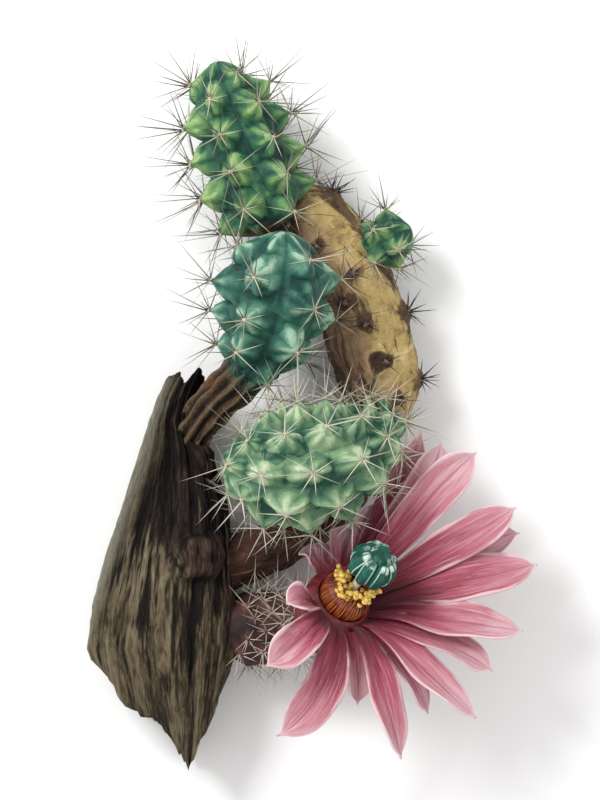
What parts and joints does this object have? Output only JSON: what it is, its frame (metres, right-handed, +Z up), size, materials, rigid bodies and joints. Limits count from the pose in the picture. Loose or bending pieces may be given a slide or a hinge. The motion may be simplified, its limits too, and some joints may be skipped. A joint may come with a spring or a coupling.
{
  "type": "hedgehog cactus cutting",
  "caption": "Cut piece of a clump-forming hedgehog cactus in flower, with an old woody trunk, an arching corky stem, ribbed green spiny shoots and one open pink flower, laid on a surface.",
  "frame": {"origin": "middle of the bottom of the whole piece, on the surface that it lies on", "axes": "+Y runs along the piece toward the upper shoot, as the picture's up; +X is the picture's right, toward the flower; +Z is up from the surface, toward the viewer"},
  "size_m": [0.112, 0.1829, 0.0573],
  "materials": {
    "trunk_bark": "matte",
    "neck_bark": "matte",
    "corky_stem": "matte",
    "green_flesh": "matte",
    "blue_flesh": "matte",
    "pale_flesh": "matte",
    "tube_skin": "matte",
    "tepal": "satin",
    "stamen": "matte",
    "style_skin": "satin",
    "stigma_skin": "satin"
  },
  "bodies": {
    "root": {"trunk": "trunk_bark", "neck_stem": "neck_bark", "arched_stem": "corky_stem", "upper_shoot": "green_flesh", "side_shoot": "green_flesh", "middle_shoot": "blue_flesh", "lower_shoot": "pale_flesh", "flower_tube": "tube_skin", "tepals": "tepal", "stamens": "stamen", "style": "style_skin", "stigma": "stigma_skin"}
  },
  "joints": []
}
